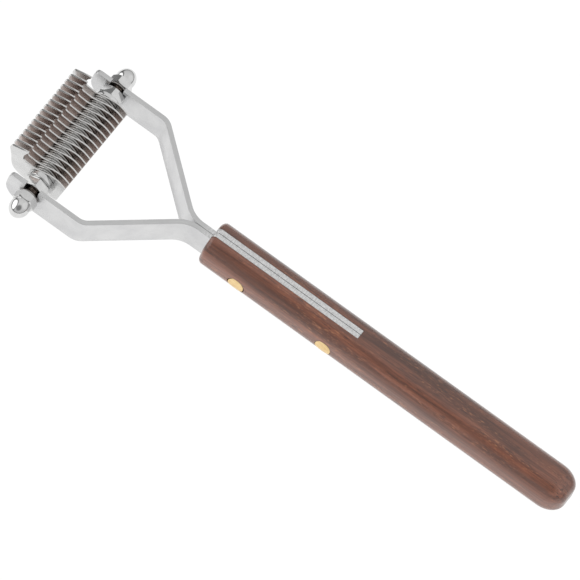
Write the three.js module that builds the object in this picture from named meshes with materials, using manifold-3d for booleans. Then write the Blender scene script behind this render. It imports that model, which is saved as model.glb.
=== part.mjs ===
// A wooden-handled coat stripper: a stack of hooked blades on a threaded axle,
// held between two bent steel arms that are riveted into the handle.
// Millimetres. +X towards the handle's butt, +Y along the axle towards the far arm,
// +Z the side that the hooks point to. Pieces are drawn about the middle of the axle,
// and the whole tool is then moved so that it stands on z = 0 with the origin under
// the middle of its length.
import * as THREE from 'three';
import { mergeVertices } from 'three/addons/utils/BufferGeometryUtils.js';
import Module from 'manifold-3d';

const wasm = await Module();
wasm.setup();

// ---- driving dimensions ----
// steel strip that both arms are bent from
const STRIP_THICK = 1.57;
const STRIP_TOP = 4.05;
const STRIP_BOTTOM = -5.5;
const ARM_CENTRE_Y = 22.05;
const ARM_END_X = -7.7;
const ARM_BEND_X = 17.4;
const TANG_BEND_X = 40.6;
const ARM_BEND_R = 4.5;
const TANG_BEND_R = 9;
const ARM_END_LOW_R = 5;
const ARM_END_TOP_R = 1.8;
const AXLE_SLOT_R = 2.3;

// handle
const HANDLE_FRONT_X = 48.5;
const HANDLE_BUTT_X = 174.3;
const HANDLE_HALF_WIDTH = 6.5;
const HANDLE_TOP = 6.8;
const HANDLE_BOTTOM = STRIP_BOTTOM;
const HANDLE_EDGE_R = 5;
const FRONT_ROUND = 1.6;
const BUTT_ROUND_LENGTH = 6.5;
const BUTT_ROUND_INSET = 4.5;
const SLOT_END_X = 99.5;
const SLOT_HALF_WIDTH = 1.72;

// rivets
const RIVET_R = 2.6;
const RIVET_Z = (STRIP_TOP + STRIP_BOTTOM) / 2;
const RIVET_X = [61.8, 92.4];
const RIVET_PROUD = 0.12;
const SNUG_GAP = 0.04;

// threaded axle, M4
const AXLE_R = 1.95;
const BORE_R = 2.03;
const AXLE_HALF_LENGTH = 28.5;
const NUT_ACROSS_FLATS = 7;
const NUT_HEIGHT = 3.2;
const NUT_CHAMFER = 0.45;
const CAP_ACROSS_FLATS = 6.2;
const CAP_HEX_HEIGHT = 2.7;
const CAP_HEIGHT = 7.5;
const CAP_DOME = { r: 3.05, length: 3.6 };
const CAP_BORE_DEPTH = 5.6;
const CAP_TURN = { near: 0, far: 14 };
const WASHER_R = 4.4;
const END_WASHER_THICK = { near: 1.65, far: 1.355 };
const OUTER_WASHER_R = 3;
const OUTER_WASHER_THICK = 0.5;

// blades and the spacers between them
const BLADE_COUNT = 16;
const BLADE_PITCH = 2.155;
const BLADE_THICK = 0.5;
const BLADE_HOLE_R = 2.1;
const SPACERS_PER_GAP = 2;
const SPACER_THICK = 0.782;
const STACK_GAP = 0.03;
const FIT_GAP = 0.05;

// hooked outline of one blade, in X and Z
const CHEEK = { x: -12.5, z: 4.7 };
const BROW = { x: -11.75, z: 7.05, bulge: 0.35 };
const CLAW_TIP = { x: -6.7, high: 8.55, low: 7.8 };
const THROAT = { x: -7.65, z: 5.2, floorX: -6.1, floorZ: 3.45 };
const HUB_DIP = { x: -3.9, z: 3.25 };
const HUB_CREST = { x: 3.1, z: 5.05 };
const BLADE_BACK = { x: 7.3, high: 3.5, footX: 6.4, low: -4.2, r: 1 };
const BELLY_X = -3.6;
const CHIN = { x: -10.7, z: -0.2, fullness: 2.9 };

// mesh fineness
const ROUND_STEPS = 20;
const CURVE_STEPS = 5;

const degrees = THREE.MathUtils.degToRad;
const ALONG_Y = Math.PI / 2;

// ---- finishes ----
const finish = (color, roughness, metalness) =>
  () => new THREE.MeshStandardMaterial({ color, roughness, metalness });
const walnut = finish(0x6b4a3e, 0.45, 0);
const brushedSteel = finish(0xc4c4c4, 0.3, 1);
const polishedSteel = finish(0xd6d8d6, 0.12, 1);
const bladeSteel = finish(0x8c817b, 0.22, 1);
const brass = finish(0xe3c184, 0.28, 1);

// ---- joining and cutting ----
function toSolid(geometry) {
  const bare = geometry.clone();
  bare.deleteAttribute('normal');
  bare.deleteAttribute('uv');
  const merged = mergeVertices(bare, 1e-4);
  return new wasm.Manifold(new wasm.Mesh({
    numProp: 3,
    vertProperties: new Float32Array(merged.attributes.position.array),
    triVerts: new Uint32Array(merged.index.array),
  }));
}

function toGeometry(solid) {
  const mesh = solid.getMesh();
  const geometry = new THREE.BufferGeometry();
  geometry.setAttribute('position', new THREE.BufferAttribute(mesh.vertProperties, 3));
  geometry.setIndex(new THREE.BufferAttribute(mesh.triVerts, 1));
  geometry.computeVertexNormals();
  return geometry;
}

// ---- basic forms ----
// a cylinder or hexagonal bar along Y, from y0 to y1
function barAlongY(radius, y0, y1, sides = ROUND_STEPS) {
  const bar = new THREE.CylinderGeometry(radius, radius, y1 - y0, sides);
  return bar.translate(0, (y0 + y1) / 2, 0);
}

// an outline drawn in X and Z, made y1 - y0 thick
function plateAlongY(shape, y0, y1) {
  const plate = new THREE.ExtrudeGeometry(shape, {
    depth: y1 - y0, bevelEnabled: false, curveSegments: CURVE_STEPS,
  });
  return plate.rotateX(ALONG_Y).translate(0, y1, 0);
}

// a flat ring along Y, made by turning its square section
function ring(inner, outer, y0, y1, steps = ROUND_STEPS) {
  const section = [[inner, y0], [outer, y0], [outer, y1], [inner, y1], [inner, y0]];
  return new THREE.LatheGeometry(section.map(([r, y]) => new THREE.Vector2(r, y)), steps);
}

function roundedRectangle(halfWidth, low, high, radius) {
  const shape = new THREE.Shape();
  shape.absarc(halfWidth - radius, low + radius, radius, -Math.PI / 2, 0);
  shape.absarc(halfWidth - radius, high - radius, radius, 0, Math.PI / 2);
  shape.absarc(radius - halfWidth, high - radius, radius, Math.PI / 2, Math.PI);
  shape.absarc(radius - halfWidth, low + radius, radius, Math.PI, 1.5 * Math.PI);
  return shape;
}

// ---- handle ----
// the handle's section run from x0 to x1, with both ends rounded over
function handleLength(x0, x1, roundLength, inset, grow = 0) {
  const section = roundedRectangle(
    HANDLE_HALF_WIDTH + grow, HANDLE_BOTTOM - grow, HANDLE_TOP + grow, HANDLE_EDGE_R + grow);
  const bar = new THREE.ExtrudeGeometry(section, {
    depth: x1 - x0 - 2 * roundLength,
    bevelThickness: roundLength,
    bevelSize: inset,
    bevelOffset: -inset,
    bevelSegments: CURVE_STEPS,
    curveSegments: CURVE_STEPS + 1,
  });
  bar.translate(0, 0, x0 + roundLength);
  // the section's first axis becomes Y, its second Z, and its length X
  return bar.applyMatrix4(new THREE.Matrix4().makeBasis(
    new THREE.Vector3(0, 1, 0), new THREE.Vector3(0, 0, 1), new THREE.Vector3(1, 0, 0)));
}

function handle() {
  const middle = (HANDLE_FRONT_X + HANDLE_BUTT_X) / 2;
  const overlap = 2 * BUTT_ROUND_LENGTH;
  const front = handleLength(HANDLE_FRONT_X, middle, FRONT_ROUND, FRONT_ROUND);
  const rear = handleLength(middle - overlap, HANDLE_BUTT_X, BUTT_ROUND_LENGTH, BUTT_ROUND_INSET);
  const slotLength = SLOT_END_X - HANDLE_FRONT_X + 2;
  const slot = new THREE.BoxGeometry(slotLength, 2 * SLOT_HALF_WIDTH, 2 * HANDLE_TOP + 4);
  slot.translate(SLOT_END_X - slotLength / 2, 0, 0);
  let wood = toSolid(front).add(toSolid(rear)).subtract(toSolid(slot));
  for (const x of RIVET_X) {
    const hole = barAlongY(RIVET_R + SNUG_GAP, -2 * HANDLE_HALF_WIDTH, 2 * HANDLE_HALF_WIDTH);
    wood = wood.subtract(toSolid(hole.translate(x, 0, RIVET_Z)));
  }
  return toGeometry(wood);
}

// ---- arms ----
// the bent centre line of the far arm in X and Y, from the tang's end to the free end
function armCentreLine() {
  const tangY = STRIP_THICK / 2 + FIT_GAP;
  const corners = [
    { x: SLOT_END_X - FIT_GAP, y: tangY },
    { x: TANG_BEND_X, y: tangY, r: TANG_BEND_R },
    { x: ARM_BEND_X, y: ARM_CENTRE_Y, r: ARM_BEND_R },
    { x: ARM_END_X - 1, y: ARM_CENTRE_Y },
  ].map(({ x, y, r = 0 }) => ({ at: new THREE.Vector2(x, y), r }));
  const line = [corners[0].at];
  for (let i = 1; i < corners.length - 1; i += 1) {
    line.push(...bend(corners[i - 1].at, corners[i].at, corners[i + 1].at, corners[i].r));
  }
  line.push(corners.at(-1).at);
  return line;
}

// points of the arc of the given radius that rounds the corner at b
function bend(a, b, c, radius) {
  const back = a.clone().sub(b).normalize();
  const ahead = c.clone().sub(b).normalize();
  const halfAngle = Math.acos(back.dot(ahead)) / 2;
  const reach = radius / Math.tan(halfAngle);
  const start = b.clone().addScaledVector(back, reach);
  const end = b.clone().addScaledVector(ahead, reach);
  const inward = back.clone().add(ahead).normalize();
  const centre = b.clone().addScaledVector(inward, radius / Math.sin(halfAngle));
  const from = start.clone().sub(centre);
  const sweep = Math.PI - 2 * halfAngle;
  const turn = Math.sign(from.cross(end.clone().sub(centre)));
  const points = [];
  for (let i = 0; i <= 2 * CURVE_STEPS; i += 1) {
    const angle = turn * sweep * i / (2 * CURVE_STEPS);
    points.push(from.clone().rotateAround(new THREE.Vector2(), angle).add(centre));
  }
  return points;
}

// the line moved sideways by a distance, keeping its corners mitred
function sideways(line, distance) {
  return line.map((point, i) => {
    const before = point.clone().sub(line[Math.max(i - 1, 0)]).normalize();
    const after = line[Math.min(i + 1, line.length - 1)].clone().sub(point).normalize();
    const along = before.add(after).normalize();
    const half = i === 0 || i === line.length - 1 ? 1 : Math.cos(along.angleTo(after));
    return point.clone().add(new THREE.Vector2(-along.y, along.x).multiplyScalar(distance / half));
  });
}

// the arm seen from its side: rounded free end, open axle slot, taller tang
function armSideOutline() {
  const lowR = ARM_END_LOW_R;
  const topR = ARM_END_TOP_R;
  const shape = new THREE.Shape();
  shape.moveTo(SLOT_END_X, STRIP_BOTTOM);
  shape.lineTo(SLOT_END_X, HANDLE_TOP);
  shape.lineTo(HANDLE_FRONT_X + FRONT_ROUND, HANDLE_TOP);
  shape.quadraticCurveTo(HANDLE_FRONT_X, HANDLE_TOP, HANDLE_FRONT_X, HANDLE_TOP - FRONT_ROUND);
  shape.lineTo(HANDLE_FRONT_X, STRIP_TOP);
  shape.lineTo(AXLE_SLOT_R, STRIP_TOP);
  shape.lineTo(AXLE_SLOT_R, 0);
  shape.absarc(0, 0, AXLE_SLOT_R, 0, Math.PI, true);
  shape.lineTo(-AXLE_SLOT_R, STRIP_TOP);
  shape.lineTo(ARM_END_X + topR, STRIP_TOP);
  shape.absarc(ARM_END_X + topR, STRIP_TOP - topR, topR, Math.PI / 2, Math.PI);
  shape.absarc(ARM_END_X + lowR, STRIP_BOTTOM + lowR, lowR, Math.PI, 1.5 * Math.PI);
  return shape;
}

// side is 1 for the far arm and -1 for the near one, its mirror image
function arm(side) {
  const centreLine = armCentreLine();
  const left = sideways(centreLine, STRIP_THICK / 2);
  const right = sideways(centreLine, -STRIP_THICK / 2);
  const plan = new THREE.Shape([...left, ...right.reverse()]);
  const height = HANDLE_TOP - STRIP_BOTTOM;
  const bent = new THREE.ExtrudeGeometry(plan, { depth: height + 2, bevelEnabled: false });
  bent.translate(0, 0, STRIP_BOTTOM - 1);
  const profile = plateAlongY(armSideOutline(), -1, ARM_CENTRE_Y + STRIP_THICK);
  let steel = toSolid(bent).intersect(toSolid(profile));
  for (const x of RIVET_X) {
    const hole = barAlongY(RIVET_R + SNUG_GAP, -1, 2 * STRIP_THICK);
    steel = steel.subtract(toSolid(hole.translate(x, 0, RIVET_Z)));
  }
  const geometry = toGeometry(steel);
  return side > 0 ? geometry : mirrorInY(geometry);
}

function mirrorInY(geometry) {
  const mirrored = geometry.clone().scale(1, -1, 1);
  const index = mirrored.index.array;
  for (let i = 0; i < index.length; i += 3) {
    [index[i], index[i + 1]] = [index[i + 1], index[i]];
  }
  mirrored.computeVertexNormals();
  return mirrored;
}

// ---- rivets ----
function rivet(x) {
  const reach = HANDLE_HALF_WIDTH + 1;
  const pin = barAlongY(RIVET_R, -reach, reach).translate(x, 0, RIVET_Z);
  const sides = handleLength(x - 10, x + 10, 1, 0.5, RIVET_PROUD);
  return toGeometry(toSolid(pin).intersect(toSolid(sides)));
}

// ---- axle, nuts and washers ----
function axle() {
  return barAlongY(AXLE_R, -AXLE_HALF_LENGTH, AXLE_HALF_LENGTH);
}

// a hexagon bar with the corners of both its ends turned off
function hexagon(acrossFlats, height) {
  const flats = acrossFlats / 2;
  const corners = flats / Math.cos(Math.PI / 6);
  const turned = [
    [0, 0], [flats, 0], [corners + 0.1, NUT_CHAMFER],
    [corners + 0.1, height - NUT_CHAMFER], [flats, height], [0, height],
  ].map(([r, y]) => new THREE.Vector2(r, y));
  const hex = toSolid(barAlongY(corners, 0, height, 6));
  return hex.intersect(toSolid(new THREE.LatheGeometry(turned, ROUND_STEPS)));
}

function innerNut() {
  const nut = hexagon(NUT_ACROSS_FLATS, NUT_HEIGHT);
  return toGeometry(nut.subtract(toSolid(barAlongY(BORE_R, -1, NUT_HEIGHT + 1))));
}

// a domed cap nut standing on y = 0 with its dome towards +Y, turned about Y so many
// degrees from having a flat side uppermost
function capNut(turn) {
  const neck = CAP_HEX_HEIGHT - 0.2;
  const domeY = CAP_HEIGHT - CAP_DOME.length;
  const profile = [new THREE.Vector2(0, neck), new THREE.Vector2(CAP_DOME.r, neck)];
  for (let i = 0; i <= CURVE_STEPS; i += 1) {
    const angle = i / CURVE_STEPS * Math.PI / 2;
    const radius = i === CURVE_STEPS ? 0 : CAP_DOME.r * Math.cos(angle);
    profile.push(new THREE.Vector2(radius, domeY + CAP_DOME.length * Math.sin(angle)));
  }
  const dome = toSolid(new THREE.LatheGeometry(profile, ROUND_STEPS));
  const bore = toSolid(barAlongY(BORE_R, -1, CAP_BORE_DEPTH));
  const cap = toGeometry(hexagon(CAP_ACROSS_FLATS, CAP_HEX_HEIGHT).add(dome).subtract(bore));
  return cap.rotateY(Math.PI / 6 + degrees(turn));
}

// ---- blades ----
function bladeOutline() {
  const back = BLADE_BACK;
  const shape = new THREE.Shape();
  shape.moveTo(CHEEK.x, CHEEK.z);
  shape.quadraticCurveTo(CHEEK.x, BROW.z - BROW.bulge, BROW.x, BROW.z);
  shape.quadraticCurveTo(
    (BROW.x + CLAW_TIP.x) / 2, (BROW.z + CLAW_TIP.high) / 2 + BROW.bulge,
    CLAW_TIP.x, CLAW_TIP.high);
  shape.lineTo(CLAW_TIP.x, CLAW_TIP.low);
  shape.quadraticCurveTo(THROAT.x, (THROAT.z + CLAW_TIP.low) / 2, THROAT.x, THROAT.z);
  shape.quadraticCurveTo(THROAT.x, THROAT.floorZ, THROAT.floorX, THROAT.floorZ);
  shape.lineTo(HUB_DIP.x, HUB_DIP.z);
  shape.bezierCurveTo(
    HUB_DIP.x / 3, HUB_DIP.z + 0.4, HUB_CREST.x / 3, HUB_CREST.z, HUB_CREST.x, HUB_CREST.z);
  shape.quadraticCurveTo((HUB_CREST.x + back.x) / 2, HUB_CREST.z, back.x, back.high);
  shape.lineTo(back.footX, back.low + back.r);
  shape.quadraticCurveTo(back.footX, back.low, back.footX - back.r, back.low);
  shape.lineTo(BELLY_X, back.low);
  shape.bezierCurveTo(
    CHIN.x + CHIN.fullness, back.low, CHIN.x + 1, CHIN.z - CHIN.fullness, CHIN.x, CHIN.z);
  shape.quadraticCurveTo(CHIN.x - CHIN.fullness / 4, CHEEK.z / 2, CHEEK.x, CHEEK.z);
  return shape;
}

function blade() {
  const plate = toSolid(plateAlongY(bladeOutline(), -BLADE_THICK / 2, BLADE_THICK / 2));
  const hole = toSolid(barAlongY(BLADE_HOLE_R, -BLADE_THICK, BLADE_THICK));
  return toGeometry(plate.subtract(hole));
}

// ---- assembly ----
const tool = new THREE.Group();
tool.position.set(-(CHEEK.x + HANDLE_BUTT_X) / 2, 0, -STRIP_BOTTOM);
const head = new THREE.Group();
tool.add(head);

function place(parent, name, geometry, material, y = 0, turnedOver = false) {
  const mesh = new THREE.Mesh(geometry, material());
  mesh.name = name;
  mesh.position.y = y;
  mesh.rotation.z = turnedOver ? Math.PI : 0;
  parent.add(mesh);
}

place(tool, 'handle', handle(), walnut);
place(tool, 'arm_far', arm(1), brushedSteel);
place(tool, 'arm_near', arm(-1), brushedSteel);
RIVET_X.forEach((x, i) => place(tool, `rivet_${i + 1}`, rivet(x), brass));

place(head, 'axle_rod', axle(), brushedSteel);
const bladeFromMiddle = BLADE_THICK / 2 + FIT_GAP;
const firstBladeY = -ARM_CENTRE_Y + STRIP_THICK / 2 + 2 * FIT_GAP + NUT_HEIGHT
  + END_WASHER_THICK.near + bladeFromMiddle;
for (let i = 0; i < BLADE_COUNT; i += 1) {
  const bladeY = firstBladeY + i * BLADE_PITCH;
  const number = String(i + 1).padStart(2, '0');
  place(head, `blade_${number}`, blade(), bladeSteel, bladeY);
  for (let j = 0; j < SPACERS_PER_GAP && i < BLADE_COUNT - 1; j += 1) {
    const spacerY = bladeY + BLADE_THICK / 2 + STACK_GAP + j * (SPACER_THICK + STACK_GAP);
    const spacer = ring(BORE_R, WASHER_R, 0, SPACER_THICK);
    place(head, `spacer_${number}${'ab'[j]}`, spacer, polishedSteel, spacerY);
  }
}

// each end of the stack: washer, nut, arm, washer and cap nut
const lastBladeY = firstBladeY + (BLADE_COUNT - 1) * BLADE_PITCH;
for (const [name, side, endBladeY] of [['near', -1, firstBladeY], ['far', 1, lastBladeY]]) {
  const over = side < 0;
  const thick = END_WASHER_THICK[name];
  const washerY = side * endBladeY + bladeFromMiddle;
  const nutY = washerY + thick + FIT_GAP;
  const outerY = ARM_CENTRE_Y + STRIP_THICK / 2 + FIT_GAP;
  const capY = outerY + OUTER_WASHER_THICK + FIT_GAP;
  const endWasher = ring(BORE_R, WASHER_R, 0, thick);
  const outerWasher = ring(BORE_R, OUTER_WASHER_R, 0, OUTER_WASHER_THICK);
  place(head, `end_washer_${name}`, endWasher, polishedSteel, side * washerY, over);
  place(head, `inner_nut_${name}`, innerNut(), polishedSteel, side * nutY, over);
  place(head, `outer_washer_${name}`, outerWasher, polishedSteel, side * outerY, over);
  place(head, `cap_nut_${name}`, capNut(CAP_TURN[name]), polishedSteel, side * capY, over);
}

export default tool;
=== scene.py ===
"""Looks for a wooden-handled coat stripper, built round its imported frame.

Every piece is drawn in millimetres about the middle of the axle, then moved to the frame's place
for the axle. Lengths along the handle, the arms and the stack come from the frame's boxes.
"""
import math

import bmesh
import bpy
from mathutils import Matrix, Vector


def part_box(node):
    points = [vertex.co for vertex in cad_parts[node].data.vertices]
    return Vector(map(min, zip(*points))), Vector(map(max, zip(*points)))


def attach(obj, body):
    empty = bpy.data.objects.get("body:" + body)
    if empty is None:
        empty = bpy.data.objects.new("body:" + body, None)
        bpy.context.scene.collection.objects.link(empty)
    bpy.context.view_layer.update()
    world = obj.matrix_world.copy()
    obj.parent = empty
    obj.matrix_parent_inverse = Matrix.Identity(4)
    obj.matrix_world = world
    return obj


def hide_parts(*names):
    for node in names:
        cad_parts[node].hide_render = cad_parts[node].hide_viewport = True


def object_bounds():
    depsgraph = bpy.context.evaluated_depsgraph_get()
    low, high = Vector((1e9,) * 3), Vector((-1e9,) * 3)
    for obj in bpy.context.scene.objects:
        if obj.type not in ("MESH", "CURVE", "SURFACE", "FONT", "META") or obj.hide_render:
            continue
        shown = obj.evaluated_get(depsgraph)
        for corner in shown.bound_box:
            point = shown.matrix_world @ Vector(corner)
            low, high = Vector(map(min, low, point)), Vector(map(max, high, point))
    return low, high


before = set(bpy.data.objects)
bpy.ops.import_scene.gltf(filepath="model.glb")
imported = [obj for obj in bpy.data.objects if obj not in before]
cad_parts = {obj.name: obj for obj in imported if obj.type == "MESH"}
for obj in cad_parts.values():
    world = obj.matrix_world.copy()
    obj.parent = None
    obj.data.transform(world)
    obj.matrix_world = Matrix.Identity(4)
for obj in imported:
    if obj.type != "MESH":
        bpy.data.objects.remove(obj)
cad_low, cad_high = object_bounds()
scene = bpy.context.scene

MM = 0.001
ROD_LOW, ROD_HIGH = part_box("axle_rod")
AXLE = (ROD_LOW + ROD_HIGH) / 2
PLACE = Matrix.Translation(AXLE) @ Matrix.Scale(MM, 4)


def cad(node):
    """A CAD node's box in millimetres about the middle of the axle."""
    low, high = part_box(node)
    return (low - AXLE) / MM, (high - AXLE) / MM


# ---------------------------------------------------------------- dimensions, in millimetres
HANDLE_LOW, HANDLE_HIGH = cad("handle")
ARM_LOW, ARM_HIGH = cad("arm_far")
EDGE_R = 5.0
FRONT_ROUND = 1.6
BUTT_ROUND = 6.5
BUTT_INSET = 4.6

STRIP_THICK = 1.57
STRIP_TOP = 4.05
TANG_TOP = HANDLE_HIGH.z + 0.015
TANG_Y = STRIP_THICK / 2 + 0.05
ARM_Y = ARM_HIGH.y - STRIP_THICK / 2
ARM_BEND_X = 17.4
TANG_BEND_X = 40.6
ARM_BEND_R = 4.5
TANG_BEND_R = 9.0
AXLE_SLOT_R = 2.3
SLOT_HALF = TANG_Y + STRIP_THICK / 2 + 0.03

RIVET_R = (cad("rivet_1")[1].x - cad("rivet_1")[0].x) / 2
PITCH = 0.7
AXLE_R = 1.96
THREAD_DEPTH = 0.38
NUT_FLATS = 3.5
CAP_FLATS = 3.1
CAP_HEX_TALL = 2.7
CAP_DOME_R = 3.05
CAP_DOME_LENGTH = 3.6
CAP_TURN = {"near": 0, "far": 14}
CAP_BORE_DEPTH = 5.6
BORE_R = 2.03
BORE_MOUTH_R = BORE_R + 0.35
BORE_MOUTH_DEEP = 0.3
ROUND = 96


# ---------------------------------------------------------------- node materials
class Shader:
    """A material built from a few node calls. Inputs are numbers, colours or other nodes' sockets."""

    def __init__(self, name):
        self.material = bpy.data.materials.new(name)
        self.material.use_nodes = True
        self.tree = self.material.node_tree
        self.surface = self.tree.nodes["Principled BSDF"]

    def add(self, kind, **settings):
        node = self.tree.nodes.new(kind)
        for key, value in settings.items():
            setattr(node, key, value)
        return node

    def link(self, value, socket):
        if isinstance(value, bpy.types.NodeSocket):
            self.tree.links.new(value, socket)
        elif value is not None:
            socket.default_value = value

    def set(self, **inputs):
        for key, value in inputs.items():
            self.link(value, self.surface.inputs[key.replace("_", " ")])

    def place(self, scale=(1, 1, 1), source="Object", attribute=None, shift=(0, 0, 0)):
        """Coordinates in millimetres, stretched by scale."""
        if attribute:
            start = self.add("ShaderNodeAttribute", attribute_name=attribute).outputs["Vector"]
            unit = 1.0
        else:
            start = self.add("ShaderNodeTexCoord").outputs[source]
            unit = 1 / MM
        mapping = self.add("ShaderNodeMapping")
        self.link(start, mapping.inputs["Vector"])
        mapping.inputs["Scale"].default_value = [unit * s for s in scale]
        mapping.inputs["Location"].default_value = shift
        return mapping.outputs["Vector"]

    def noise(self, vector, scale, detail=4.0, rough=0.55, warp=0.0):
        node = self.add("ShaderNodeTexNoise")
        self.link(vector, node.inputs["Vector"])
        node.inputs["Scale"].default_value = scale
        node.inputs["Detail"].default_value = detail
        node.inputs["Roughness"].default_value = rough
        node.inputs["Distortion"].default_value = warp
        return node.outputs["Fac"]

    def ramp(self, value, stops, ease="LINEAR"):
        """stops are (position, grey) or (position, (r, g, b))."""
        node = self.add("ShaderNodeValToRGB")
        node.color_ramp.interpolation = ease
        elements = node.color_ramp.elements
        while len(elements) < len(stops):
            elements.new(0.5)
        for element, (position, colour) in zip(elements, stops):
            rgb = colour if isinstance(colour, tuple) else (colour,) * 3
            element.position = position
            element.color = (*rgb, 1)
        self.link(value, node.inputs["Fac"])
        return node.outputs["Color"]

    def mix(self, amount, first, second, blend="MIX"):
        node = self.add("ShaderNodeMix", data_type="RGBA", blend_type=blend)
        self.link(amount, node.inputs[0])
        for value, socket in ((first, node.inputs[6]), (second, node.inputs[7])):
            self.link((*value, 1) if isinstance(value, tuple) else value, socket)
        return node.outputs[2]

    def maths(self, operation, first, second=None, clamp=False):
        node = self.add("ShaderNodeMath", operation=operation, use_clamp=clamp)
        self.link(first, node.inputs[0])
        self.link(second, node.inputs[1])
        return node.outputs[0]

    def fit(self, value, low, high, out_low, out_high):
        """value moved from the range low..high to out_low..out_high, held at its ends."""
        node = self.add("ShaderNodeMapRange")
        for key, number in zip(("From Min", "From Max", "To Min", "To Max"),
                               (low, high, out_low, out_high)):
            node.inputs[key].default_value = number
        self.link(value, node.inputs["Value"])
        return node.outputs["Result"]

    def axis(self, name, source="Normal"):
        """How far a piece's own normal leans along one axis, 0 to 1."""
        node = self.add("ShaderNodeTexCoord")
        split = self.add("ShaderNodeSeparateXYZ")
        self.link(node.outputs[source], split.inputs[0])
        return self.maths("ABSOLUTE", split.outputs[name])

    def bump(self, height, strength, depth_mm, under=None):
        node = self.add("ShaderNodeBump")
        self.link(height, node.inputs["Height"])
        node.inputs["Strength"].default_value = strength
        node.inputs["Distance"].default_value = depth_mm * MM
        self.link(under, node.inputs["Normal"])
        return node.outputs["Normal"]


def walnut_material():
    """Dark walnut: long streaks and darker bands, open pores as short dashes, a thin satin oil finish."""
    s = Shader("walnut")
    bands = s.noise(s.place((0.014, 0.26, 0.26), shift=(2, 5, 0)), 1.0, 3, 0.5, 0.6)
    streaks = s.noise(s.place((0.035, 1.0, 1.0)), 1.3, 6, 0.62, 0.25)
    fibres = s.noise(s.place((0.16, 3.4, 3.4)), 1.2, 5, 0.62)
    flecks = s.noise(s.place((0.55, 3.0, 3.0), shift=(5, 1, 8)), 1.0, 3, 0.6)
    pores = s.noise(s.place((0.20, 2.2, 2.2), shift=(3, 7, 1)), 1.1, 2, 0.5)
    where = s.noise(s.place((0.022, 0.30, 0.30), shift=(9, 2, 4)), 1.0, 2)
    base = s.ramp(streaks, [(0.28, (0.064, 0.020, 0.011)), (0.45, (0.110, 0.036, 0.018)),
                            (0.57, (0.144, 0.048, 0.025)), (0.76, (0.186, 0.068, 0.036))])
    dark = s.ramp(bands, [(0.36, 0.50), (0.50, 0.98), (0.64, 1.20)])
    tone = s.mix(1.0, base, dark, "MULTIPLY")
    tone = s.mix(s.fit(fibres, 0.40, 0.66, 0.0, 0.55), tone, (0.050, 0.018, 0.012))
    golden = s.maths("MULTIPLY", s.fit(flecks, 0.55, 0.68, 0, 0.75), s.fit(where, 0.42, 0.58, 0.05, 1))
    tone = s.mix(golden, tone, (0.300, 0.125, 0.060))
    open_pores = s.maths("MULTIPLY", s.fit(pores, 0.61, 0.69, 0, 0.9), s.fit(where, 0.38, 0.58, 0.3, 1))
    tone = s.mix(open_pores, tone, (0.016, 0.007, 0.006))
    height = s.maths("SUBTRACT", s.maths("MULTIPLY", fibres, 0.45), open_pores)
    s.set(Base_Color=tone,
          Roughness=s.fit(streaks, 0.3, 0.7, 0.50, 0.38),
          Normal=s.bump(height, 0.60, 0.07),
          Coat_Weight=1.0, Coat_Roughness=0.26, Coat_IOR=1.5)
    return s.material


def strip_material():
    """Steel strip: smooth satin on the broad faces, finely brushed along the sheared edges."""
    s = Shader("strip_steel")
    along = {"attribute": "strip"}
    brush = s.noise(s.place((0.10, 9.0, 9.0), **along), 1.6, 4, 0.6)
    cloud = s.noise(s.place((0.12, 0.12, 0.12), **along), 1.2, 3)
    marks = s.noise(s.place((0.25, 2.4, 2.4), **along), 1.1, 5, 0.7)
    # the strip's own axes are run, height and thickness: an edge is where its thickness coordinate varies
    edge = s.add("ShaderNodeAttribute", attribute_name="edge").outputs["Fac"]
    face = s.mix(s.fit(cloud, 0.35, 0.65, 0, 1), (0.70, 0.70, 0.70), (0.62, 0.62, 0.625))
    rim = s.mix(s.fit(brush, 0.35, 0.65, 0, 1), (0.66, 0.662, 0.66), (0.53, 0.532, 0.53))
    # the tangs were sanded level with the wood, across the strip
    sanded = s.add("ShaderNodeAttribute", attribute_name="sanded").outputs["Fac"]
    hatch = s.noise(s.place((2.4, 0.3, 0.9), **along), 1.0, 3, 0.6)
    sanded_steel = s.mix(s.fit(hatch, 0.40, 0.60, 0, 1), (0.93, 0.93, 0.925), (0.60, 0.60, 0.595))
    rim = s.mix(sanded, rim, sanded_steel)
    rough = s.mix(edge, s.fit(marks, 0.3, 0.7, 0.26, 0.36), s.fit(brush, 0.3, 0.7, 0.30, 0.46))
    height = s.mix(edge, s.maths("MULTIPLY", marks, 0.25), brush)
    s.set(Base_Color=s.mix(edge, face, rim), Metallic=1.0, Roughness=rough,
          Normal=s.bump(height, 0.35, 0.02))
    return s.material


def hardware_material(name, light, dark, smooth, rough):
    """Bright nuts and washers: polished, with faint turning marks and handling haze. The thin washers in the
    blade stack get darker tints, painted shade for the narrow gaps between the blades.
    """
    s = Shader(name)
    haze = s.noise(s.place((0.35, 0.35, 0.35)), 1.0, 4, 0.6)
    turning = s.noise(s.place((1.2, 7.0, 1.2)), 1.4, 3, 0.5)
    tint = s.mix(s.fit(haze, 0.35, 0.65, 0, 1), light, dark)
    s.set(Base_Color=tint, Metallic=1.0, Roughness=s.fit(haze, 0.3, 0.7, smooth, rough),
          Normal=s.bump(turning, 0.12, 0.01))
    return s.material


def rod_material(name, light, dark):
    """Threaded rod, dull and oily, in patches; also the outer nut washers, tinted dark as painted shade for
    the gap under each cap nut.
    """
    s = Shader(name)
    grime = s.noise(s.place((0.9, 0.9, 0.9)), 1.3, 4, 0.6)
    tint = s.mix(s.fit(grime, 0.35, 0.65, 0, 1), light, dark)
    s.set(Base_Color=tint, Metallic=1.0, Roughness=s.fit(grime, 0.3, 0.7, 0.30, 0.46))
    return s.material


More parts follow.
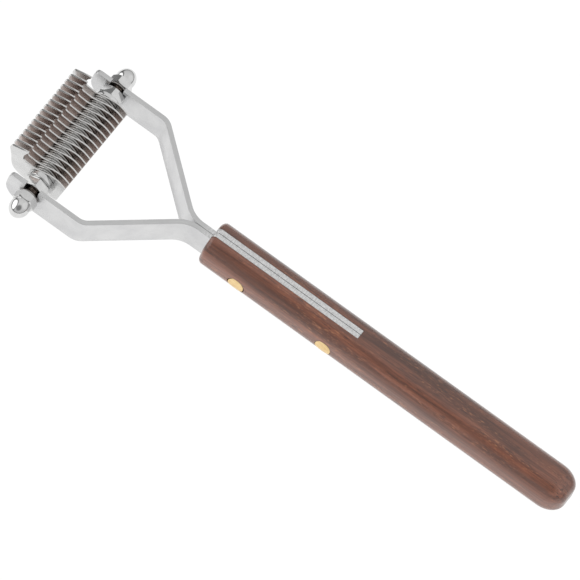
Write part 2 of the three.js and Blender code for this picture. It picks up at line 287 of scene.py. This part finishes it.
def blade_material(name, face_light, face_dark):
    """Tempered blade: brown-grey faces with faint rolling lines, ground edges left bright. Lighter grey face
    tints make painted light for the two end blades.
    """
    s = Shader(name)
    rolled = s.noise(s.place((2.0, 1.0, 6.0)), 1.0, 5, 0.62)
    cloud = s.noise(s.place((0.22, 1.0, 0.22)), 1.4, 3)
    ground = s.noise(s.place((1.4, 8.0, 1.4)), 1.2, 3)
    facing = s.fit(s.axis("Y"), 0.86, 0.97, 0, 1)
    face = s.mix(s.fit(cloud, 0.35, 0.65, 0, 1), face_light, face_dark)
    rim = s.mix(s.fit(ground, 0.35, 0.65, 0, 1), (0.78, 0.775, 0.765), (0.62, 0.615, 0.605))
    rough = s.mix(facing, s.fit(ground, 0.3, 0.7, 0.16, 0.30), s.fit(rolled, 0.3, 0.7, 0.20, 0.32))
    s.set(Base_Color=s.mix(facing, rim, face), Metallic=1.0, Roughness=rough,
          Normal=s.bump(rolled, 0.18, 0.01))
    return s.material


def brass_material():
    """Rivet heads sanded flush: fine scratches one way, lighter along the scratches, over a cloudy brass
    tint.
    """
    s = Shader("brass")
    scratches = s.noise(s.place((0.5, 1.0, 7.0)), 1.6, 4, 0.6)
    cloud = s.noise(s.place((0.5, 0.5, 0.5)), 1.2, 3)
    tint = s.mix(s.fit(cloud, 0.35, 0.65, 0, 1), (0.90, 0.68, 0.36), (0.78, 0.55, 0.27))
    tint = s.mix(s.fit(scratches, 0.52, 0.68, 0, 0.5), tint, (0.96, 0.80, 0.52))
    s.set(Base_Color=tint, Metallic=1.0, Roughness=s.fit(scratches, 0.3, 0.7, 0.26, 0.42),
          Normal=s.bump(scratches, 0.25, 0.015))
    return s.material


WALNUT = walnut_material()
STRIP = strip_material()
HARDWARE = hardware_material("hardware_steel", (0.74, 0.74, 0.735), (0.65, 0.65, 0.648), 0.06, 0.14)
# the thin washers inside the blade stack take a darker tint than the other hardware: painted shade for the
# narrow gaps between the blades
PAINTED_SHADE_WASHER = hardware_material("painted_shade_washer_steel", (0.46, 0.455, 0.445), (0.29, 0.285, 0.275), 0.10, 0.22)
ROD = rod_material("rod_steel", (0.36, 0.30, 0.26), (0.13, 0.105, 0.09))
# the outer nut washers take a dark tint: painted shade standing in for the shaded gap between each cap nut
# and its arm
PAINTED_GAP_SHADE_STEEL = rod_material("painted_gap_shade_steel", (0.42, 0.40, 0.39), (0.24, 0.23, 0.22))
BLADE = blade_material("blade_steel", (0.56, 0.495, 0.465), (0.40, 0.345, 0.322))
# the two end blades take a lighter grey face tint: painted light for their outer faces, open to the light
# while the inner blades stand in shade
PAINTED_LIGHT_END_BLADE = blade_material("painted_light_end_blade_steel", (0.72, 0.72, 0.715), (0.66, 0.66, 0.655))
BRASS = brass_material()


# ---------------------------------------------------------------- mesh helpers
def bare_object(name, bm):
    """A linked object holding bm's mesh as it stands, in millimetres."""
    bmesh.ops.recalc_face_normals(bm, faces=bm.faces)
    mesh = bpy.data.meshes.new(name)
    bm.to_mesh(mesh)
    bm.free()
    obj = bpy.data.objects.new(name, mesh)
    scene.collection.objects.link(obj)
    return obj


def baked(obj):
    """The mesh obj shows with its modifiers on, and obj removed."""
    bpy.context.view_layer.update()
    mesh = bpy.data.meshes.new_from_object(obj.evaluated_get(bpy.context.evaluated_depsgraph_get()))
    bpy.data.objects.remove(obj)
    return mesh


def boolean(obj, other, operation):
    """obj joined to, cut by or kept inside other, as a new object of the same name."""
    name = obj.name
    modifier = obj.modifiers.new("boolean", "BOOLEAN")
    modifier.object = other
    modifier.operation = operation
    modifier.solver = "EXACT"
    mesh = baked(obj)
    bpy.data.objects.remove(other)
    made = bpy.data.objects.new(name, mesh)
    scene.collection.objects.link(made)
    return made


def bevelled(obj, width, segments=2, angle=35):
    modifier = obj.modifiers.new("bevel", "BEVEL")
    modifier.width = width
    modifier.segments = segments
    modifier.limit_method = "ANGLE"
    modifier.angle_limit = math.radians(angle)
    modifier.miter_outer = "MITER_ARC"
    return obj


def piece(name, mesh, material, body, slot, *nodes, sharp=38, shift=(0, 0, 0), turned=False, spin=0):
    """A finished piece in the frame's place: mesh is in millimetres about the axle's middle."""
    mesh = mesh.copy()
    mesh.name = name
    mesh.transform(Matrix.Rotation(math.radians(spin), 4, "Y"))
    if turned:
        mesh.transform(Matrix.Rotation(math.pi, 4, "Z"))
    mesh.transform(PLACE @ Matrix.Translation(shift))
    mesh.materials.clear()
    mesh.materials.append(material)
    mesh.shade_smooth()
    mesh.set_sharp_from_angle(angle=math.radians(sharp))
    obj = bpy.data.objects.new(name, mesh)
    scene.collection.objects.link(obj)
    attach(obj, body)
    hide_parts(*nodes)
    return obj


def loft(rows, name, closed=False):
    """A skin through rows of points, all of one length: capped at both ends, or closed on itself."""
    bm = bmesh.new()
    rings = [[bm.verts.new(point) for point in row] for row in rows]
    count = len(rings[0])
    for k, low in enumerate(rings if closed else rings[:-1]):
        high = rings[(k + 1) % len(rings)]
        for i in range(count):
            j = (i + 1) % count
            bm.faces.new((low[i], low[j], high[j], high[i]))
    if not closed:
        bm.faces.new(rings[0])
        bm.faces.new(rings[-1])
    return bare_object(name, bm)


def circle(radius, y, steps=ROUND):
    turns = [2 * math.pi * i / steps for i in range(steps)]
    return [(radius * math.cos(a), y, radius * math.sin(a)) for a in turns]


def turned_about_y(profile, name, steps=64, closed=False):
    """A lathe form about Y. profile is (radius, y); a closed one makes a ring."""
    return loft([circle(radius, y, steps) for radius, y in profile], name, closed)


def arc(cx, cy, radius, start, end, steps):
    """Points of an arc, angles in degrees."""
    points = []
    for i in range(steps + 1):
        a = math.radians(start + (end - start) * i / steps)
        points.append((cx + radius * math.cos(a), cy + radius * math.sin(a)))
    return points


def curve(points, steps):
    """Points of a Bezier curve with three or four control points, its first left out."""
    made = []
    for i in range(1, steps + 1):
        level = [Vector(p) for p in points]
        while len(level) > 1:
            level = [a.lerp(b, i / steps) for a, b in zip(level, level[1:])]
        made.append(tuple(level[0]))
    return made


def plate(outline, y0, y1, name):
    """An outline in X and Z, made solid from y0 to y1."""
    return loft([[(x, y, z) for x, z in outline] for y in (y0, y1)], name)


# ---------------------------------------------------------------- handle
def wood_section(x, inset, grow=0.0, corner_steps=12):
    """The handle's rounded section at x, drawn in by inset all round."""
    half = HANDLE_HIGH.y - inset + grow
    low = HANDLE_LOW.z + inset - grow
    high = HANDLE_HIGH.z - inset + grow
    radius = max(EDGE_R - inset + grow, 0.4)
    points = []
    for cy, cz, start in ((half - radius, low + radius, -90), (half - radius, high - radius, 0),
                          (radius - half, high - radius, 90), (radius - half, low + radius, 180)):
        points += arc(cy, cz, radius, start, start + 90, corner_steps)
    return [(x, y, z) for y, z in points]


def make_handle():
    x0, x1 = HANDLE_LOW.x, HANDLE_HIGH.x
    rows = []
    for i in range(9):
        a = math.radians(90 * i / 8)
        rows.append((x0 + FRONT_ROUND * (1 - math.cos(a)), FRONT_ROUND * (1 - math.sin(a))))
    start, end = rows[-1][0], x1 - BUTT_ROUND
    spans = 30
    for i in range(1, spans):
        rows.append((start + (end - start) * i / spans, 0))
    for i in range(17):
        a = math.radians(90 * i / 16)
        rows.append((end + BUTT_ROUND * math.sin(a), BUTT_INSET * (1 - math.cos(a))))
    wood = loft([wood_section(x, inset) for x, inset in rows], "wood")
    slot_end = ARM_HIGH.x + 0.05
    slot = plate([(x0 - 2, -20), (slot_end, -20), (slot_end, 20), (x0 - 2, 20)],
                 -SLOT_HALF, SLOT_HALF, "slot")
    wood = boolean(wood, slot, "DIFFERENCE")
    for i in (1, 2):
        low, high = cad(f"rivet_{i}")
        middle = (low.x + high.x) / 2
        hole = turned_about_y([(RIVET_R + 0.04, -12), (RIVET_R + 0.04, 12)], "hole", 72)
        # the first hole is worn a little long, which leaves a dark gap at each end of its rivet
        hole.data.transform(Matrix.Diagonal((1.10 if i == 1 else 1.02, 1, 1, 1)))
        hole.data.transform(Matrix.Translation((middle, 0, (low.z + high.z) / 2)))
        wood = boolean(wood, hole, "DIFFERENCE")
    obj = piece("walnut_handle", baked(wood), WALNUT, "fork", "walnut", "handle", sharp=40)
    return obj


def side_surface(z):
    """The handle side's distance from the middle plane at height z."""
    low, high = HANDLE_LOW.z + EDGE_R, HANDLE_HIGH.z - EDGE_R
    past = max(low - z, z - high, 0)
    return HANDLE_HIGH.y - EDGE_R + math.sqrt(max(EDGE_R ** 2 - past ** 2, 0))


def make_rivet(number):
    """A brass pin whose heads follow the handle's rounded sides, a hair proud, with softened rims."""
    low, high = cad(f"rivet_{number}")
    cx, cz = (low.x + high.x) / 2, (low.z + high.z) / 2
    steps = 72
    # (share of the radius, height over the wood in mm), from the head's middle to its rim
    rings = [(0.02, 0.14), (0.35, 0.135), (0.65, 0.12), (0.86, 0.10), (0.95, 0.07),
             (0.985, 0.02), (1.0, -0.05)]
    rows = []
    for side, order in ((-1, rings), (1, rings[::-1])):
        for share, proud in order:
            row = []
            for i in range(steps):
                a = 2 * math.pi * i / steps
                x, z = cx + RIVET_R * share * math.cos(a), cz + RIVET_R * share * math.sin(a)
                row.append((x, side * (side_surface(z) + proud), z))
            rows.append(row)
    pin = loft(rows, "pin")
    piece(f"brass_rivet_{number}", baked(pin), BRASS, "fork", "brass", f"rivet_{number}", sharp=50)


# ---------------------------------------------------------------- arms
class Strip:
    """The bent centre line of the far arm in plan, measured from its free end."""

    def __init__(self):
        corners = [Vector((ARM_LOW.x, ARM_Y)), Vector((ARM_BEND_X, ARM_Y)),
                   Vector((TANG_BEND_X, TANG_Y)), Vector((ARM_HIGH.x, TANG_Y))]
        self.parts = []
        self.bends = []
        run = 0.0
        at = corners[0]
        for i, radius in ((1, ARM_BEND_R), (2, TANG_BEND_R)):
            before = (corners[i] - corners[i - 1]).normalized()
            after = (corners[i + 1] - corners[i]).normalized()
            turn = before.angle_signed(after)
            reach = radius * math.tan(abs(turn) / 2)
            start = corners[i] - before * reach
            length = (start - at).length
            self.parts.append((run, run + length, at, before, 0.0))
            run += length
            # angle_signed counts clockwise as positive, so the curve bends by its negative
            bend = -turn / (radius * abs(turn))
            self.parts.append((run, run + radius * abs(turn), start, before, bend))
            self.bends.append((run, run + radius * abs(turn)))
            run += radius * abs(turn)
            at = corners[i] + after * reach
        last = (corners[3] - at)
        self.parts.append((run, run + last.length, at, last.normalized(), 0.0))
        self.length = run + last.length

    def at(self, run):
        """Point and direction at a run along the strip."""
        for start, end, point, direction, bend in self.parts:
            if run <= end or end == self.length:
                along = run - start
                if bend == 0:
                    return point + direction * along, direction
                normal = Vector((-direction.y, direction.x))
                angle = bend * along
                ahead = direction * math.cos(angle) + normal * math.sin(angle)
                moved = direction * math.sin(angle) / bend + normal * (1 - math.cos(angle)) / bend
                return point + moved, ahead
        raise ValueError("run is past the strip's end")

    def run_at_x(self, x):
        """The run along the straight tang at x."""
        start, _end, point, _direction, _bend = self.parts[-1]
        return start + x - point.x


def strip_outline(strip):
    """The flat pattern: rounded free end, open axle slot, step up to the taller tang."""
    low_r, top_r = 5.0, 1.8
    slot_run = -ARM_LOW.x
    bottom = ARM_LOW.z
    front = strip.run_at_x(HANDLE_LOW.x)
    points = arc(low_r, bottom + low_r, low_r, 180, 270, 12)
    points += [(strip.length, bottom), (strip.length, TANG_TOP)]
    points += arc(front + FRONT_ROUND, TANG_TOP - FRONT_ROUND, FRONT_ROUND, 90, 180, 8)
    points += [(front, STRIP_TOP), (slot_run + AXLE_SLOT_R, STRIP_TOP)]
    points += arc(slot_run, 0, AXLE_SLOT_R, 0, -180, 24)
    points += [(slot_run - AXLE_SLOT_R, STRIP_TOP)]
    points += arc(top_r, STRIP_TOP - top_r, top_r, 90, 180, 8)
    return points


def make_arm(side):
    """side is 1 for the far arm and -1 for the near one."""
    strip = Strip()
    flat = plate(strip_outline(strip), -STRIP_THICK / 2, STRIP_THICK / 2, "flat")
    for i in (1, 2):
        low, high = cad(f"rivet_{i}")
        hole = turned_about_y([(RIVET_R + 0.02, -3), (RIVET_R + 0.02, 3)], "hole", 48)
        hole.data.transform(Matrix.Translation(
            (strip.run_at_x((low.x + high.x) / 2), 0, (low.z + high.z) / 2)))
        flat = boolean(flat, hole, "DIFFERENCE")
    bevelled(flat, 0.17, 3, 40)
    mesh = baked(flat)
    bm = bmesh.new()
    bm.from_mesh(mesh)
    for start, end in strip.bends:
        cuts = max(int((end - start) / 0.45), 4)
        places = [start + (end - start) * i / cuts for i in range(cuts + 1)]
        # one more cut just outside each end of the bend keeps the straight lengths flat in the light
        for run in [start - 0.25, *places, end + 0.25]:
            everything = bm.verts[:] + bm.edges[:] + bm.faces[:]
            bmesh.ops.bisect_plane(bm, geom=everything, dist=1e-5,
                                   plane_co=(run, 0, 0), plane_no=(1, 0, 0))
    pattern = []
    edge = []
    for vert in bm.verts:
        run, thick, height = vert.co
        pattern.append((run, height, thick))
        edge.append(min(1.0, max(0.0, (STRIP_THICK / 2 - abs(thick)) / 0.12)))
        point, ahead = strip.at(run)
        across = Vector((-ahead.y, ahead.x)) * thick
        vert.co = (point.x + across.x, side * (point.y + across.y), height)
    bmesh.ops.recalc_face_normals(bm, faces=bm.faces)
    bm.to_mesh(mesh)
    bm.free()
    kept = mesh.attributes.new("strip", "FLOAT_VECTOR", "POINT")
    for i, value in enumerate(pattern):
        kept.data[i].vector = value
    kept = mesh.attributes.new("edge", "FLOAT", "POINT")
    sanded = mesh.attributes.new("sanded", "FLOAT", "POINT")
    for i, value in enumerate(edge):
        kept.data[i].value = value
        sanded.data[i].value = float(pattern[i][0] > strip.run_at_x(HANDLE_LOW.x) - 0.1)
    where = "far" if side > 0 else "near"
    piece(f"steel_arm_{where}", mesh, STRIP, "fork", "strip_steel", f"arm_{where}", sharp=30)


# ---------------------------------------------------------------- axle, nuts and washers
def make_rod():
    """M4 thread cut along the rod, with a chamfer at each end."""
    half = (ROD_HIGH.y - ROD_LOW.y) / 2 / MM
    steps, per_pitch = 24, 6
    count = int(2 * half / PITCH * per_pitch)
    rows = []
    for k in range(count + 1):
        y = -half + 2 * half * k / count
        to_end = half - abs(y)
        row = []
        for i in range(steps):
            turn = i / steps
            phase = (y / PITCH - turn) % 1.0
            flank = abs(2 * phase - 1)
            depth = THREAD_DEPTH * min(max((flank - 0.12) / 0.70, 0), 1)
            radius = min(AXLE_R - depth, AXLE_R - 0.75 + to_end)
            a = 2 * math.pi * turn
            row.append((radius * math.cos(a), y, radius * math.sin(a)))
        rows.append(row)
    piece("threaded_rod", baked(loft(rows, "rod")), ROD, "axle", "rod_steel", "axle_rod", sharp=60)


def hexagon_rows(flats, tall):
    """Four rows up a hexagon bar. Its corners are turned off at 30 degrees at both ends."""
    face = flats - 0.03
    low, high = [], []
    for i in range(ROUND):
        a = 360 * i / ROUND
        radius = flats / math.cos(math.radians(a % 60 - 30))
        x, z = radius * math.cos(math.radians(a)), radius * math.sin(math.radians(a))
        drop = (radius - face) * math.tan(math.radians(34))
        low.append((x, drop, z))
        high.append((x, tall - drop, z))
    return [circle(face, 0), low, high, circle(face, tall)]


def nut_mesh():
    nut_low, nut_high = cad("inner_nut_far")
    tall = nut_high.y - nut_low.y
    rows = [circle(BORE_R, BORE_MOUTH_DEEP), circle(BORE_MOUTH_R, 0)]
    rows += hexagon_rows(NUT_FLATS, tall)
    rows += [circle(BORE_MOUTH_R, tall), circle(BORE_R, tall - BORE_MOUTH_DEEP)]
    return baked(loft(rows, "nut", closed=True))


def cap_mesh():
    """Domed cap nut standing on y = 0, one flat uppermost: blind bore, hexagon, groove, dome."""
    cap_low, cap_high = cad("cap_nut_far")
    tall = cap_high.y - cap_low.y
    rows = [circle(0.05, CAP_BORE_DEPTH), circle(BORE_R, CAP_BORE_DEPTH - 0.4),
            circle(BORE_R, BORE_MOUTH_DEEP), circle(BORE_MOUTH_R, 0)]
    rows += hexagon_rows(CAP_FLATS, CAP_HEX_TALL)
    rows += [circle(CAP_DOME_R - 0.14, CAP_HEX_TALL + 0.01),
             circle(CAP_DOME_R - 0.10, CAP_HEX_TALL + 0.14)]
    dome_y = tall - CAP_DOME_LENGTH
    for i in range(19):
        a = math.radians(4.9 * i)
        rows.append(circle(CAP_DOME_R * math.cos(a), dome_y + CAP_DOME_LENGTH * math.sin(a)))
    return baked(loft(rows, "cap"))


def washer_mesh(inner, outer, thick, edge=0.12):
    """A ring from y = 0 to thick with its rims rounded."""
    profile = [(inner, 0.08), (inner + 0.08, 0)]
    profile += [(outer - edge + r, edge + y) for r, y in arc(0, 0, edge, -90, 0, 4)]
    profile += [(outer - edge + r, thick - edge + y) for r, y in arc(0, 0, edge, 0, 90, 4)]
    profile += [(inner + 0.08, thick), (inner, thick - 0.08)]
    return baked(turned_about_y(profile, "washer", 72, closed=True))


def make_hardware():
    nut, cap = nut_mesh(), cap_mesh()
    for where, side in (("near", -1), ("far", 1)):
        turned = side < 0

        def base(node):
            """The end of a node's box that faces the middle of the axle."""
            low, high = cad(node)
            return high.y if turned else low.y

        def thickness(node):
            low, high = cad(node)
            return high.y - low.y

        for shape, name, node, body in (
                (nut, "inner_nut", f"inner_nut_{where}", "blade_head"),
                (cap, "domed_nut", f"cap_nut_{where}", f"{where}_cap")):
            spin = 30 if name == "inner_nut" else CAP_TURN[where]
            piece(f"{name}_{where}_bright", shape, HARDWARE, body, "hardware_steel", node,
                  shift=(0, base(node), 0), turned=turned, spin=spin, sharp=20)
        for name, node, body, steel in (
                ("stack_end_washer", f"end_washer_{where}", "blade_head", HARDWARE),
                # the outer washer's dark tint is painted shade for the gap under the cap nut
                ("nut_washer", f"outer_washer_{where}", f"{where}_washer", PAINTED_GAP_SHADE_STEEL)):
            low, high = cad(node)
            ring = washer_mesh(BORE_R, high.z, thickness(node), 0.14)
            piece(f"{name}_{where}", ring, steel, body, "hardware_steel", node,
                  shift=(0, base(node), 0), turned=turned, sharp=30)


# ---------------------------------------------------------------- blades and spacers
CHEEK = (-12.5, 4.7)
BROW, BROW_BULGE = (-11.75, 7.05), 0.35
TIP_X, TIP_HIGH, TIP_LOW = -6.7, 8.55, 7.8
THROAT = (-7.65, 5.2)
THROAT_FLOOR = (-6.1, 3.45)
HUB_DIP = (-3.9, 3.25)
HUB_CREST = (3.1, 5.05)
BACK_X, BACK_HIGH, FOOT_X, BLADE_LOW, BACK_R = 7.3, 3.5, 6.4, -4.2, 1.0
BELLY_X = -3.6
CHIN, CHIN_FULL = (-10.7, -0.2), 2.9
GRIND = 0.32
GRIND_FROM_X, GRIND_RUN_X = -7.8, 1.2
GRIND_FROM_Z, GRIND_RUN_Z = -2, 3
EDGE_BREAK = 0.05
BLADE_HOLE_R = 2.1


def blade_outline():
    """One hooked blade in X and Z: cheek, brow, claw, throat, hub, tapering back, belly, chin."""
    tip_top, tip_foot = (TIP_X, TIP_HIGH), (TIP_X - 0.05, TIP_LOW)
    points = [CHEEK]
    points += curve([CHEEK, (CHEEK[0], BROW[1] - BROW_BULGE), BROW], 10)
    points += curve([BROW, ((BROW[0] + TIP_X) / 2, (BROW[1] + TIP_HIGH) / 2 + BROW_BULGE), tip_top], 12)
    points += [(TIP_X + 0.04, TIP_HIGH - 0.2), tip_foot]
    points += curve([tip_foot, (THROAT[0], (THROAT[1] + TIP_LOW) / 2), THROAT], 8)
    points += curve([THROAT, (THROAT[0], THROAT_FLOOR[1]), THROAT_FLOOR], 8)
    points += [HUB_DIP]
    points += curve([HUB_DIP, (HUB_DIP[0] / 3, HUB_DIP[1] + 0.4),
                     (HUB_CREST[0] / 3, HUB_CREST[1]), HUB_CREST], 14)
    points += curve([HUB_CREST, ((HUB_CREST[0] + BACK_X) / 2, HUB_CREST[1]), (BACK_X, BACK_HIGH)], 10)
    points += [(FOOT_X, BLADE_LOW + BACK_R)]
    points += curve([points[-1], (FOOT_X, BLADE_LOW), (FOOT_X - BACK_R, BLADE_LOW)], 6)
    points += [(BELLY_X, BLADE_LOW)]
    points += curve([points[-1], (CHIN[0] + CHIN_FULL, BLADE_LOW),
                     (CHIN[0] + 1, CHIN[1] - CHIN_FULL), CHIN], 14)
    points += curve([CHIN, (CHIN[0] - CHIN_FULL / 4, CHEEK[1] / 2), CHEEK], 8)[:-1]
    return points


def blade_rows(half):
    """Rows through a blade from its near face to its far one, with the hook's front ground at a slant."""
    outline = blade_outline()
    near_face, near_rim, far_rim, far_face = [], [], [], []
    for i, (x, z) in enumerate(outline):
        before, after = Vector(outline[i - 1]), Vector(outline[(i + 1) % len(outline)])
        along = (after - before).normalized()
        inward = Vector((along.y, -along.x))
        towards_tip = min(max((GRIND_FROM_X - x) / GRIND_RUN_X, 0), 1)
        above_belly = min(max((z - GRIND_FROM_Z) / GRIND_RUN_Z, 0), 1)
        ground = GRIND * towards_tip * above_belly
        deep = inward * (EDGE_BREAK + ground)
        near_face.append((x + deep.x, -half, z + deep.y))
        near_rim.append((x, -half + EDGE_BREAK + 0.6 * ground, z))
        far_rim.append((x, half - EDGE_BREAK, z))
        far_face.append((x + inward.x * EDGE_BREAK, half, z + inward.y * EDGE_BREAK))
    return [near_face, near_rim, far_rim, far_face]


def make_stack():
    low, high = cad("blade_01")
    blade = loft(blade_rows((high.y - low.y) / 2), "blade")
    hole = turned_about_y([(BLADE_HOLE_R, -2), (BLADE_HOLE_R, 2)], "hole", 48)
    blade_mesh = baked(boolean(blade, hole, "DIFFERENCE"))
    low, high = cad("spacer_01a")
    spacer_mesh = washer_mesh(BORE_R, high.z, high.y - low.y, 0.30)
    for node in sorted(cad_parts):
        if node.startswith(("blade_", "spacer_")):
            low, high = cad(node)
            if node.startswith("blade_"):
                number = node[-2:]
                # end blades get the lighter tint: painted light
                steel = PAINTED_LIGHT_END_BLADE if number in ("01", "16") else BLADE
                piece(f"hooked_blade_{number}", blade_mesh, steel, "blade_head", "blade_steel", node,
                      shift=(0, (low.y + high.y) / 2, 0), sharp=28)
            else:
                # darker tint on the stack's thin washers: painted shade between the blades
                piece(f"thin_washer_{node[-3:]}", spacer_mesh, PAINTED_SHADE_WASHER, "blade_head",
                      "hardware_steel", node, shift=(0, low.y, 0), sharp=30)


make_handle()
for rivet_number in (1, 2):
    make_rivet(rivet_number)
make_arm(1)
make_arm(-1)
make_rod()
make_hardware()
make_stack()


# ---------------------------------------------------------------- stage, light and camera
def make_floor():
    bm = bmesh.new()
    size = 6.0
    corners = [bm.verts.new((x * size, y * size, cad_low.z - 0.0001))
               for x, y in ((-1, -1), (1, -1), (1, 1), (-1, 1))]
    bm.faces.new(corners)
    floor = bare_object("floor", bm)
    s = Shader("floor_paper")
    grain = s.noise(s.place((0.05, 0.05, 0.05)), 1.0, 2)
    s.set(Base_Color=s.mix(grain, (0.86, 0.86, 0.86), (0.88, 0.88, 0.88)), Roughness=0.9,
          Specular_IOR_Level=0.0)
    glow = s.add("ShaderNodeEmission")
    glow.inputs["Color"].default_value = (1, 1, 1, 1)
    # the paper's edge runs just past the head: mirrored metal sees the dark beyond it, the eye doesn't
    spread = s.add("ShaderNodeSeparateXYZ")
    s.link(s.add("ShaderNodeTexCoord").outputs["Object"], spread.inputs[0])
    paper = s.fit(spread.outputs["X"], cad_low.x - 0.030, cad_low.x - 0.014, 0.10, 1.0)
    seen = s.add("ShaderNodeLightPath").outputs["Is Camera Ray"]
    s.link(s.maths("MULTIPLY", s.maths("MAXIMUM", paper, seen), 1.03), glow.inputs["Strength"])
    lit = s.add("ShaderNodeMixShader")
    s.link(s.fit(seen, 0, 1, 0.90, 0.97), lit.inputs[0])
    s.link(s.surface.outputs[0], lit.inputs[1])
    s.link(glow.outputs[0], lit.inputs[2])
    clear = s.add("ShaderNodeBsdfTransparent")
    both = s.add("ShaderNodeMixShader")
    s.link(s.add("ShaderNodeNewGeometry").outputs["Backfacing"], both.inputs[0])
    s.link(lit.outputs[0], both.inputs[1])
    s.link(clear.outputs[0], both.inputs[2])
    s.link(both.outputs[0], s.tree.nodes["Material Output"].inputs["Surface"])
    floor.data.materials.append(s.material)


def make_world():
    """White to the eye. In reflections it is a studio: grey ceiling, low framed white panel, dark camera."""
    world = bpy.data.worlds.new("studio")
    scene.world = world
    world.use_nodes = True
    tree = world.node_tree
    tree.nodes.clear()
    coords = tree.nodes.new("ShaderNodeTexCoord")
    split = tree.nodes.new("ShaderNodeSeparateXYZ")
    tree.links.new(coords.outputs["Generated"], split.inputs[0])
    height = tree.nodes.new("ShaderNodeValToRGB")
    stops = [(0.0, 0.14), (0.07, 0.22), (0.16, 0.62), (0.60, 0.76), (1.0, 0.80)]
    elements = height.color_ramp.elements
    while len(elements) < len(stops):
        elements.new(0.5)
    for element, (position, grey) in zip(elements, stops):
        element.position = position
        element.color = (grey, grey, grey, 1)
    tree.links.new(split.outputs["Z"], height.inputs["Fac"])
    light = height.outputs["Color"]
    # each patch: direction, cosine at its outside and inside, brightness
    for direction, outside, inside, grey in (
            ((0.66, 0.35, 0.66), 0.80, 0.95, 0.88),
            ((0.10, -0.51, 0.85), 0.80, 0.96, 0.26),
            ((-0.85, 0.50, 0.05), 0.95, 0.985, 0.12),
            ((-0.93, -0.21, 0.28), 0.66, 0.73, 0.20),
            ((-0.93, -0.21, 0.28), 0.77, 0.82, 1.60)):
        near = tree.nodes.new("ShaderNodeVectorMath")
        near.operation = "DOT_PRODUCT"
        tree.links.new(coords.outputs["Generated"], near.inputs[0])
        near.inputs[1].default_value = Vector(direction).normalized()
        soft = tree.nodes.new("ShaderNodeMapRange")
        soft.interpolation_type = "SMOOTHSTEP"
        soft.inputs["From Min"].default_value = outside
        soft.inputs["From Max"].default_value = inside
        tree.links.new(near.outputs["Value"], soft.inputs["Value"])
        patch = tree.nodes.new("ShaderNodeMix")
        patch.data_type = "RGBA"
        tree.links.new(soft.outputs["Result"], patch.inputs[0])
        tree.links.new(light, patch.inputs[6])
        patch.inputs[7].default_value = (grey, grey, grey, 1)
        light = patch.outputs[2]
    path = tree.nodes.new("ShaderNodeLightPath")
    mix = tree.nodes.new("ShaderNodeMix")
    mix.data_type = "RGBA"
    tree.links.new(path.outputs["Is Camera Ray"], mix.inputs[0])
    tree.links.new(light, mix.inputs[6])
    mix.inputs[7].default_value = (1, 1, 1, 1)
    background = tree.nodes.new("ShaderNodeBackground")
    tree.links.new(mix.outputs[2], background.inputs["Color"])
    output = tree.nodes.new("ShaderNodeOutputWorld")
    tree.links.new(background.outputs[0], output.inputs["Surface"])


def make_light(name, place, size, power):
    """A square softbox at place, in metres, turned to the middle of the tool."""
    data = bpy.data.lights.new(name, "AREA")
    data.shape = "RECTANGLE"
    data.size, data.size_y = size
    data.energy = power
    light = bpy.data.objects.new(name, data)
    scene.collection.objects.link(light)
    light.location = place
    light.rotation_euler = (-Vector(place)).to_track_quat("-Z", "Y").to_euler()
    # the world's own panels are what the metal mirrors
    light.visible_glossy = False


def make_camera():
    """A long lens looking down at 58 degrees, 11 degrees round towards the butt."""
    right = Vector((0.8076, 0.5433, 0.2297))
    up = Vector((-0.5805, 0.6642, 0.4713))
    back = right.cross(up).normalized()
    width, distance, sensor = 0.16505, 6.0, 36.0
    data = bpy.data.cameras.new("camera")
    data.sensor_width = sensor
    data.lens = sensor * distance / width
    data.clip_start, data.clip_end = 0.1, 100
    camera = bpy.data.objects.new("camera", data)
    scene.collection.objects.link(camera)
    right = up.cross(back).normalized()
    up = back.cross(right)
    turn = Matrix((right, up, back)).transposed().to_4x4()
    middle = (cad_low + cad_high) / 2
    aim = Vector((middle.x - 0.0067, middle.y + 0.0058, cad_low.z))
    camera.matrix_world = Matrix.Translation(aim + back * distance) @ turn
    scene.camera = camera


make_floor()
make_world()
make_light("key_softbox", (-0.5, -0.7, 0.9), (0.5, 0.5), 6.0)
make_light("fill_softbox", (0.9, 0.3, 0.8), (0.6, 0.6), 4.0)
make_light("side_softbox", (0.2, -1.1, 0.25), (0.7, 0.3), 8.0)
make_camera()
scene.view_settings.view_transform = "Standard"
